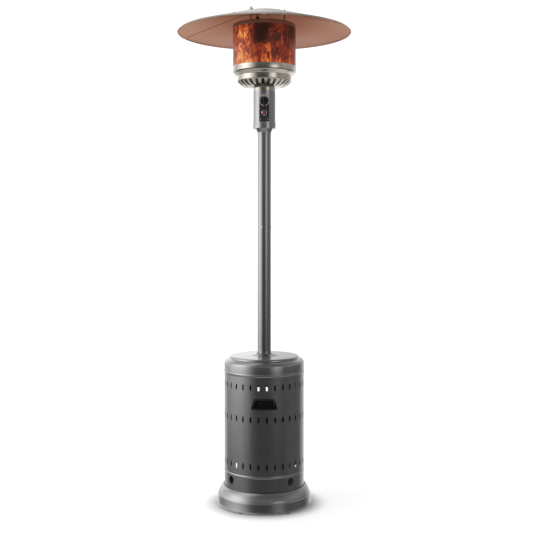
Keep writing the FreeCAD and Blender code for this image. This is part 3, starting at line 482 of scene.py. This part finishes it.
for name, opened, node in (("front_grip", False, "grip_front"), ("back_grip", True, "grip_back")):
    bm = grip_flat(opened)
    for vert in bm.verts:
        across, out, up = vert.co
        radius = DRUM_RADIUS + GRIP_SEAT - out
        angle = math.asin(across / DRUM_RADIUS) + (math.pi if opened else 0)
        vert.co = Vector((radius * math.sin(angle), -radius * math.cos(angle), up + GRIP_MIDDLE)) * MM
    make_piece(name, bm, "tank_cover", "black_plastic", [plastic], node)

# ---------------------------------------------------------------- post
# Two painted tubes joined at mid height over a sleeve, with cross-headed screws just above the
# joint, and a flanged socket at the top with its own screws.
JOINT_SCREW_LEVEL = 1290
SOCKET_SCREW_LEVEL = 1729
coat(enamel, "lower_post", "upper_post", "post_socket")
coat(zinc, "post_coupler")


def cross_heads(bm, places, radius, height):
    """Pan heads with a cross recess, each on a place whose Z axis points out of the work."""
    arm = radius * 0.5
    half = radius * 0.15
    outline = [(arm, -half), (arm, half), (half, half), (half, arm), (-half, arm), (-half, half),
               (-arm, half), (-arm, -half), (-half, -half), (-half, -arm), (half, -arm), (half, -half)]
    for place in places:
        before = set(bm.verts)
        lathe(bm, [(radius, 0, 0), (radius, height * 0.4, 0), (radius * 0.9, height * 0.78, 0),
                   (radius * 0.66, height, 0)], steps=24)
        crown = [edge for edge in bm.edges if edge.is_boundary and edge.verts[0] not in before
                 and min(vert.co.z for vert in edge.verts) > height * MM * 0.99]
        cross = [bm.verts.new((x * MM, y * MM, height * MM)) for x, y in outline]
        loop = [bm.edges.new((cross[i - 1], cross[i])) for i in range(len(cross))]
        bmesh.ops.bridge_loops(bm, edges=crown + loop)
        recess = bmesh.ops.extrude_edge_only(bm, edges=loop)
        low = [part for part in recess["geom"] if isinstance(part, bmesh.types.BMVert)]
        bmesh.ops.translate(bm, vec=(0, 0, -height * MM * 0.6), verts=low)
        bmesh.ops.scale(bm, vec=(0.8, 0.8, 1), verts=low)
        bmesh.ops.contextual_create(bm, geom=[part for part in recess["geom"]
                                              if isinstance(part, bmesh.types.BMEdge)
                                              and part.verts[0] in low and part.verts[1] in low])
        bmesh.ops.transform(bm, matrix=place, verts=[v for v in bm.verts if v not in before])


def screws_round(name, radius, angles, height, head, depth, node, finish=zinc):
    """A ring of screw heads facing outwards."""
    bm = bmesh.new()
    cross_heads(bm, [facing(around(radius, angle, height), around(1, angle, 0)) for angle in angles],
                head, depth)
    make_piece(name, bm, "stand", "zinc", [finish], node)


screws_round("joint_screws", 31.4, (-19, 71, 161, 251), JOINT_SCREW_LEVEL, 4.5, 2.4, "post_joint_screws")
screws_round("socket_screw_heads", 32.6, (-40, 50, 140, 230), SOCKET_SCREW_LEVEL, 3.4, 2.2, "socket_screws")

# ---------------------------------------------------------------- control housing
# A painted sleeve with a screwed collar below it.  A flat arched panel on its front carries the
# black control knob and the red igniter button in its bright bezel.
COLLAR_SCREW_LEVEL = 1772
PAINTED_REFLECTION_LEVEL = 1.846
coat(enamel, "housing_collar", "control_housing")
screws_round("collar_screw_heads", 53.3, [45 * number for number in range(8)], COLLAR_SCREW_LEVEL, 3, 1.8,
             "collar_screws")


def panel_plate():
    """A dark plate whose arched top, round the knob, is painted a light brushed-metal colour as a painted
    reflection.
    """
    material, place = new_finish("panel_plate")
    lines = place.stretched(1, 1, 12).noise(160, 2)
    edge = place.part("X").math("ABSOLUTE") * 0.8 + PAINTED_REFLECTION_LEVEL
    # painted reflection: above the arch the plate is painted light, brushed and a little metallic
    painted_reflection_top = (place.part("Z") - edge).rise(-0.0006, 0.0006)
    colour = painted_reflection_top.blend(lines.blend((0.030, 0.029, 0.028), (0.048, 0.046, 0.045)),
                        lines.blend((0.56, 0.49, 0.43), (0.70, 0.62, 0.55)))
    close_finish(place, {"Base Color": colour, "Metallic": painted_reflection_top * 0.1,
                         "Roughness": 0.42 - painted_reflection_top * 0.1 + lines * 0.12,
                         "Normal": lines.bump(0.08, 0.0002)})
    return material


coat(panel_plate(), "control_panel")
PANEL_FACE = 55.4
PANEL_SCREW_LEVEL = 1791
KNOB_LEVEL = 1876
KNOB_BACK = 61.9
IGNITER_LEVEL = 1821
IGNITER_BACK = 57
FORWARD = Vector((0, -1, 0))

bm = bmesh.new()
cross_heads(bm, [facing(Vector((x, -PANEL_FACE, PANEL_SCREW_LEVEL)) * MM, FORWARD) for x in (-16, 16)],
            2.6, 1.6)
make_piece("panel_screw_heads", bm, "stand", "zinc", [zinc], "panel_screws")

# the knob: a skirted disc with a tapered finger bar, in metres, that runs on below it as a pointer
BAR_OUT = -0.0714
BAR_LEVEL = 1.869
BAR_SIZE = (0.0105, 0.019, 0.049)
BAR_ROUNDING = 0.0022
bm = bmesh.new()
knob_seat = facing(Vector((0, -KNOB_BACK, KNOB_LEVEL)) * MM, FORWARD)
lathe(bm, [(5, 0, 0), (19.2, 0, 0.6), (20, 1.2, 0.8), (19.4, 5, 1.6), (14, 7.4, 2), (0, 8.4, 0)],
      place=knob_seat, steps=96)
bar = bmesh.ops.create_cube(bm, size=1, matrix=Matrix.Translation((0, BAR_OUT, BAR_LEVEL)) @
                            Matrix.Diagonal((*BAR_SIZE, 1)))
tip = [vert for vert in bar["verts"] if vert.co.y < BAR_OUT]
bmesh.ops.scale(bm, vec=(0.66, 1, 0.94), space=Matrix.Translation((0, 0, -BAR_LEVEL)), verts=tip)
soften_edges(bm, bar["verts"], BAR_ROUNDING)
make_piece("finger_knob", bm, "knob", "black_plastic", [plastic], "control_knob")


def glossy_red():
    material, place = new_finish("glossy_red")
    flow = place.noise(120, 2)
    close_finish(place, {
        "Base Color": flow.blend((0.46, 0.012, 0.016), (0.66, 0.022, 0.030)),
        "Roughness": 0.14 + flow * 0.1, "Coat Weight": 0.5,
        "Normal": flow.bump(0.04, 0.0003)})
    return material


def bright_chrome():
    material, place = new_finish("bright_chrome")
    haze = place.noise(90, 3)
    close_finish(place, {
        "Base Color": haze.blend((0.60, 0.60, 0.61), (0.78, 0.78, 0.78)), "Metallic": 1.0,
        "Roughness": 0.08 + haze * 0.1, "Normal": haze.bump(0.03, 0.0002)})
    return material


bm = bmesh.new()
lathe(bm, [(8.1, 0, 0), (12.5, 0, 0), (12.5, 2.2, 0.8), (10.8, 3.9, 0.9), (9.2, 3.9, 0.5), (8.1, 2.4, 0),
           (8.1, 0, 0)], place=facing(Vector((0, -PANEL_FACE, IGNITER_LEVEL)) * MM, FORWARD), steps=64)
make_piece("bezel", bm, "stand", "panel_metal", [bright_chrome()], "igniter_bezel")
bm = bmesh.new()
lathe(bm, [(0, -21, 0), (3, -21, 0.3), (3, 0, 0), (5.6, 0, 0.3), (6, 0.6, 0.3), (6, 7.2, 1.2),
           (4.6, 8.7, 1), (0, 9, 0)],
      place=facing(Vector((0, -IGNITER_BACK, IGNITER_LEVEL)) * MM, FORWARD), steps=48)
make_piece("igniter_cap", bm, "igniter_button", "red_button", [glossy_red()], "igniter_button")

# what sits inside the housing: the valve with its plug and spindle, the igniter and the pipes
coat(brass, "control_valve", "valve_bonnet", "valve_plug", "valve_spindle", "gas_nozzle", "thermocouple")
coat(zinc, "bonnet_screws", "gas_feed_pipe", "burner_pipe")
coat(plastic, "piezo_igniter", "tilt_switch")

# ---------------------------------------------------------------- burner
# Polished stainless steel: a vented bowl that steps out to a flared lip, and the band that
# holds the emitter.  Inside are the burner cup, pilot, thermocouple and spark electrode.


def polished_stainless():
    """Warm polished steel with fine turning lines and a slightly wavy, mirror-like face, with a painted
    reflection in its colour.
    """
    material, place = new_finish("polished_stainless")
    lines = place.stretched(0.4, 0.4, 70).noise(30, 2)
    waves = place.stretched(1, 1, 2.2).noise(26, 2)
    stain = place.noise(14, 3)
    # painted reflection: the colour is darker down the middle seen from the front, lighter towards both
    # sides and most to the right
    side = place.part("X").rise(-0.15, 0.09) * 0.4 + place.part("X").math("ABSOLUTE").rise(0.01, 0.08) * 0.35
    close_finish(place, {
        "Base Color": (stain * 0.25 + side).blend((0.17, 0.15, 0.13), (0.66, 0.615, 0.55)),
        "Metallic": 1.0,
        "Roughness": 0.08 + lines * 0.08 + stain * 0.06,
        "Normal": (waves * 0.9 + lines * 0.1).bump(0.3, 0.003)})
    return material


def glazed_ceramic():
    material, place = new_finish("glazed_ceramic")
    speck = place.noise(300, 2)
    close_finish(place, {
        "Base Color": speck.blend((0.66, 0.65, 0.60), (0.82, 0.81, 0.77)),
        "Roughness": 0.14 + speck * 0.14, "Normal": speck.bump(0.05, 0.0003)})
    return material


steel = polished_stainless()
BOWL_SHEET = 0.8
BAND_SCREW_LEVEL = 2027
VENTS = 26
VENT_INNER, VENT_OUTER = 82, 125.5
VENT_TOP = 1972
RIB_SHARE = 0.47


def is_vent(middle):
    """The part of each vent's share of the turn that isn't rib, on the bowl's rounded bottom."""
    share = (math.atan2(middle.x, -middle.y) / math.tau * VENTS) % 1
    reach = math.hypot(middle.x, middle.y)
    return VENT_INNER < reach < VENT_OUTER and middle.z < VENT_TOP and share > RIB_SHARE


bm = bmesh.new()
lathe(bm, [(52, 1926.2, 0), (52, 1943, 2), (63, 1944.6, 4), (82, 1947.6, 0), (104, 1951.2, 9),
           (125.6, 1970.6, 0), (128, 1973.6, 1.6), (128, 1998, 1.2), (136, 2004.6, 2.2), (138, 2005, 0.8),
           (145.4, 2011, 3), (147.4, 2017.6, 2), (147.4, 2034.6, 0)], sheet=BOWL_SHEET, steps=VENTS * 8,
      opened=is_vent)
make_piece("vented_bowl", bm, "stand", "stainless", [steel], "burner_pan")

bm = bmesh.new()
lathe(bm, [(147.7, 2016.4, 0), (149.5, 2016.4, 0.4), (149.5, 2041.4, 0.6), (147.8, 2041.4, 0)], sheet=0.3)
make_piece("screen_band", bm, "stand", "stainless", [steel], "burner_band")
coat(steel, "burner_plate", "burner_head", "venturi_tube", "pilot_burner")
coat(glazed_ceramic(), "igniter_electrode")
screws_round("band_screw_heads", 149.4, (-45, 45, 135, 225), BAND_SCREW_LEVEL, 3.6, 2, "band_screws")

# ---------------------------------------------------------------- emitter screen
# A perforated steel cylinder that glows while the burner runs: tongues of flame lick up it,
# brightest on the left, over a nearly black sheet.  A plain cap closes its top.
SCREEN_LOW = 2.047
SCREEN_TALL = 0.179
CAP_SCREW_LEVEL = 2223
GLOW_STRENGTH = 0.95
PUNCHED_ROUND, PUNCHED_UP = 3.1, 1900
# tongues: where they stand, half their width in degrees, how high and how bright they are
TONGUES = ((-80, 9, 0.9, 0.45), (-50, 12, 1.35, 0.95), (-33, 13, 1.3, 0.95), (-20, 8, 0.80, 0.60),
           (-4, 12, 0.44, 0.62), (7, 7, 0.80, 0.85), (17, 7, 0.52, 0.50), (31, 8, 0.92, 0.66),
           (44, 9, 0.80, 0.44), (56, 11, 0.62, 0.66), (72, 8, 0.85, 0.42), (104, 12, 0.9, 0.7),
           (130, 12, 0.6, 0.8), (155, 13, 1.0, 0.7), (178, 14, 0.6, 0.8), (-176, 12, 0.6, 0.8),
           (-150, 12, 1.0, 0.8), (-125, 12, 0.6, 0.7), (-101, 10, 0.8, 0.6))


def flame_screen():
    material, place = new_finish("flame_screen")
    up = (place.part("Z") - SCREEN_LOW) / SCREEN_TALL
    side = place.part("X").math("ARCTAN2", place.part("Y") * -1) * (180 / math.pi)
    sway = place.stretched(1, 1, 0.8).noise(18, 3, 0.55, 0.8) - 0.5
    curls = place.stretched(1, 1, 0.55).noise(27, 4, 0.60, 2.0)
    strands = place.stretched(1, 1, 0.34).noise(62, 3, 0.6, 1.1)
    swept = side + sway * 30 + (curls - 0.5) * 26
    flame = None
    for middle, half, tall, bright in TONGUES:
        taper = up.fall(0.0, tall) * half + half * 0.4
        body = (1 - (swept - middle).math("ABSOLUTE") / taper).math("MAXIMUM", 0.0)
        body = body ** 0.6 * up.fall(tall * 0.55, tall * 1.12) * bright
        flame = body if flame is None else flame.math("MAXIMUM", body)
    # glowing haze everywhere but in a dark gap left of the middle and at the far right
    gap = (side + 6).math("ABSOLUTE").fall(8, 20) * up.rise(0.38, 0.55)
    shade = side.rise(34, 70) * up.rise(0.5, 0.75) * 0.7
    haze = (0.26 + side.fall(-40, 10) * 0.16) * (0.30 + curls.rise(0.36, 0.64) * 1.15)
    hot = ((side + 46).math("ABSOLUTE").fall(2, 16) * ((up - 0.72).math("ABSOLUTE").fall(0.02, 0.2)
           + (up - 0.16).math("ABSOLUTE").fall(0.02, 0.2))) * 0.3
    heat = flame * (0.34 + strands.rise(0.36, 0.64) * 0.70 + curls.rise(0.45, 0.7) * 0.25) + hot
    heat = heat.math("MAXIMUM", haze) * (1 - gap * 0.85) * (1 - shade) + up.fall(0.0, 0.12) * 0.12
    heat = heat * (1 - side.math("ABSOLUTE").rise(66, 92) * 0.35)
    glow = heat.node("ShaderNodeValToRGB", {"stops": (
        (0.0, (0.012, 0.004, 0.003)), (0.18, (0.060, 0.011, 0.007)), (0.40, (0.235, 0.030, 0.012)),
        (0.62, (0.50, 0.085, 0.022)), (0.82, (0.74, 0.215, 0.055)), (1.0, (0.86, 0.42, 0.12)))}, {0: heat})
    across = side * PUNCHED_ROUND
    # painted shade: the punched holes are painted darker than the sheet around them
    punched_holes_and_shade = (across.math("SINE") * (place.part("Z") * PUNCHED_UP).math("SINE")).rise(0.1, 0.5)
    close_finish(place, {
        "Base Color": punched_holes_and_shade.blend((0.045, 0.022, 0.016), (0.012, 0.006, 0.005)),
        "Metallic": 0.6, "Roughness": 0.34 + strands * 0.1,
        "Emission Color": glow, "Emission Strength": GLOW_STRENGTH,
        "Normal": punched_holes_and_shade.bump(0.12, 0.0003)})
    return material


coat(flame_screen(), "emitter_screen")


def painted_copper_reflection_steel():
    """Steel whose warm brown colour is a painted reflection of the copper underside above it, mottled in
    blooms.
    """
    material, place = new_finish("painted_copper_reflection_steel")
    bloom = place.noise(18, 4)
    lines = place.stretched(1, 1, 60).noise(40, 2)
    close_finish(place, {
        "Base Color": bloom.blend((0.30, 0.20, 0.155), (0.58, 0.44, 0.36)), "Metallic": 0.85,
        "Roughness": 0.26 + lines * 0.14, "Normal": lines.bump(0.08, 0.0003)})
    return material


painted_copper_reflection = painted_copper_reflection_steel()
coat(painted_copper_reflection, "screen_cap")
screws_round("cap_screw_heads", 148.5, (-90, 0, 90, 180), CAP_SCREW_LEVEL, 2.6, 1.6, "cap_screws",
             painted_copper_reflection)

# ---------------------------------------------------------------- reflector
# Four quarter panels of thin aluminium, lapped and screwed along their seams, with a turned-down
# rim.  The underside has a copper tint, partly painted glow from the burner, darker and redder towards the
# middle; wing nuts clamp it to three studs.
REFLECTOR_TOP = 2295
SHOULDER_LEVEL, RIM_LEVEL = 2208, 2200.2
FLAT_RADIUS, SHOULDER_RADIUS, RIM_RADIUS = 105, 400, 407.5
SEAM_ANGLE = -22
STRAP_TOP = REFLECTOR_TOP - 1.02
STRAP_FOOT = 2207.2
STRAP_START, STRAP_TURN = 88.8, 4.2
SEAM_SCREW_RADII = (368, 165)
SEAM_SCREW_TURN = 1.4
SEAM_SCREW_SEAT = 0.9
STUD_RING = 96
STUD_ANGLES = (80, 200, 320)
WING_TURN = 35
WING_THICK = 0.0024
WING_SOFTNESS = 0.6
WING_OUTLINE = ((4.5, 2.6, 0), (7, 3.2, 1.2), (10, 5.6, 1.6), (11.6, 8.6, 1.6), (10.6, 10.8, 1.2),
                (8.4, 10, 1.4), (7, 8.4, 1.2), (4.5, 8.2, 0))


def copper_tint_and_painted_glow():
    """The underside: aluminium with a copper tint, partly painted glow from the burner, painted darker and
    redder towards the middle as glow and shade.
    """
    material, place = new_finish("copper_tint_and_painted_glow")
    span = (place.part("X") ** 2 + place.part("Y") ** 2) ** 0.5
    cloud = place.stretched(1, 1, 3).noise(6, 4)
    spin_marks = place.noise(240, 2)
    # painted glow and shade: the colour turns darker and redder towards the middle, round the burner, with a
    # cloudy mottle
    painted_glow_shade_and_cloud = span.fall(0.15, 0.36) * 0.8 + cloud * 0.2
    close_finish(place, {
        "Base Color": painted_glow_shade_and_cloud.blend((0.43, 0.248, 0.192), (0.23, 0.070, 0.046)), "Metallic": 0.92,
        "Specular Tint": (0.80, 0.62, 0.52),
        "Roughness": 0.27 + cloud * 0.08 + spin_marks * 0.05,
        "Normal": spin_marks.bump(0.05, 0.0003)})
    return material


def dull_aluminium():
    material, place = new_finish("dull_aluminium")
    brushed = place.noise(320, 2)
    cloud = place.noise(5, 4)
    close_finish(place, {
        "Base Color": (cloud * 0.7 + brushed * 0.3).blend((0.33, 0.305, 0.275), (0.47, 0.435, 0.40)),
        "Metallic": 0.95, "Roughness": 0.30 + brushed * 0.12, "Normal": brushed.bump(0.05, 0.0003)})
    return material


copper = copper_tint_and_painted_glow()
aluminium = dull_aluminium()
for number in range(1, 5):
    bm = bmesh.new()
    seam = SEAM_ANGLE - 90 + 90 * number
    start = Matrix.Rotation(math.radians(seam), 4, "Z")
    skin = [(8, REFLECTOR_TOP, 0), (FLAT_RADIUS, REFLECTOR_TOP, 4), (SHOULDER_RADIUS, SHOULDER_LEVEL, 1.6),
            (RIM_RADIUS, RIM_LEVEL, 0)]
    lathe(bm, skin, sheet=1.0, place=start, steps=64, angle=math.pi / 2)
    strap = [(24, STRAP_TOP, 0), (FLAT_RADIUS - 0.3, STRAP_TOP, 3), (SHOULDER_RADIUS - 1.4, STRAP_FOOT, 0)]
    over = Matrix.Rotation(math.radians(seam + STRAP_START), 4, "Z")
    lathe(bm, strap, sheet=0.9, place=over, steps=4, angle=math.radians(STRAP_TURN))
    bm.normal_update()
    # faces that look down take the copper tint with its painted glow, faces that look up the plain aluminium
    for face in bm.faces:
        face.material_index = 1 if face.normal.z > 0.02 else 0
    make_piece(f"panel_{number}", bm, "stand", "reflector", [copper, aluminium],
               f"reflector_panel_{number}")

slope = (REFLECTOR_TOP - SHOULDER_LEVEL) / (SHOULDER_RADIUS - FLAT_RADIUS)
bm = bmesh.new()
places = []
for number in range(4):
    for along in SEAM_SCREW_RADII:
        level = REFLECTOR_TOP - (along - FLAT_RADIUS) * slope + SEAM_SCREW_SEAT
        places.append(facing(around(along, SEAM_ANGLE + 90 * number + SEAM_SCREW_TURN, level), UP))
cross_heads(bm, places, 4, 2.2)
make_piece("seam_screw_heads", bm, "stand", "zinc", [zinc], "seam_screws")
coat(zinc, "reflector_studs", "stud_nuts")

bm = bmesh.new()
for angle in STUD_ANGLES:
    nut = Matrix.Translation(around(STUD_RING, angle, REFLECTOR_TOP))
    lathe(bm, [(4.2, 0, 0), (9, 0, 0.2), (9, 1.5, 0.3), (7, 1.6, 0.2), (6.8, 4, 0.8), (5.4, 10.4, 0.8),
               (4.2, 10.5, 0), (4.2, 0, 0)], place=nut, steps=40)
    for side in (1, -1):
        before = set(bm.verts)
        corners = [bm.verts.new((side * x * MM, WING_THICK / 2, z * MM)) for x, z, _ in WING_OUTLINE]
        bm.faces.new(corners)
        for corner, (_, _, rounding) in zip(corners, WING_OUTLINE):
            if rounding:
                round_corner(bm, corner, rounding * MM * WING_SOFTNESS, 3)
        flat = [face for face in bm.faces if all(vert not in before for vert in face.verts)]
        thick = bmesh.ops.extrude_face_region(bm, geom=flat)
        far = [part for part in thick["geom"] if isinstance(part, bmesh.types.BMVert)]
        bmesh.ops.translate(bm, vec=(0, -WING_THICK, 0), verts=far)
        made = [vert for vert in bm.verts if vert not in before]
        turned = Matrix.Rotation(math.radians(angle + WING_TURN), 4, "Z")
        bmesh.ops.transform(bm, matrix=nut @ turned, verts=made)
make_piece("wing_nuts", bm, "stand", "zinc", [zinc], "reflector_wing_nuts")
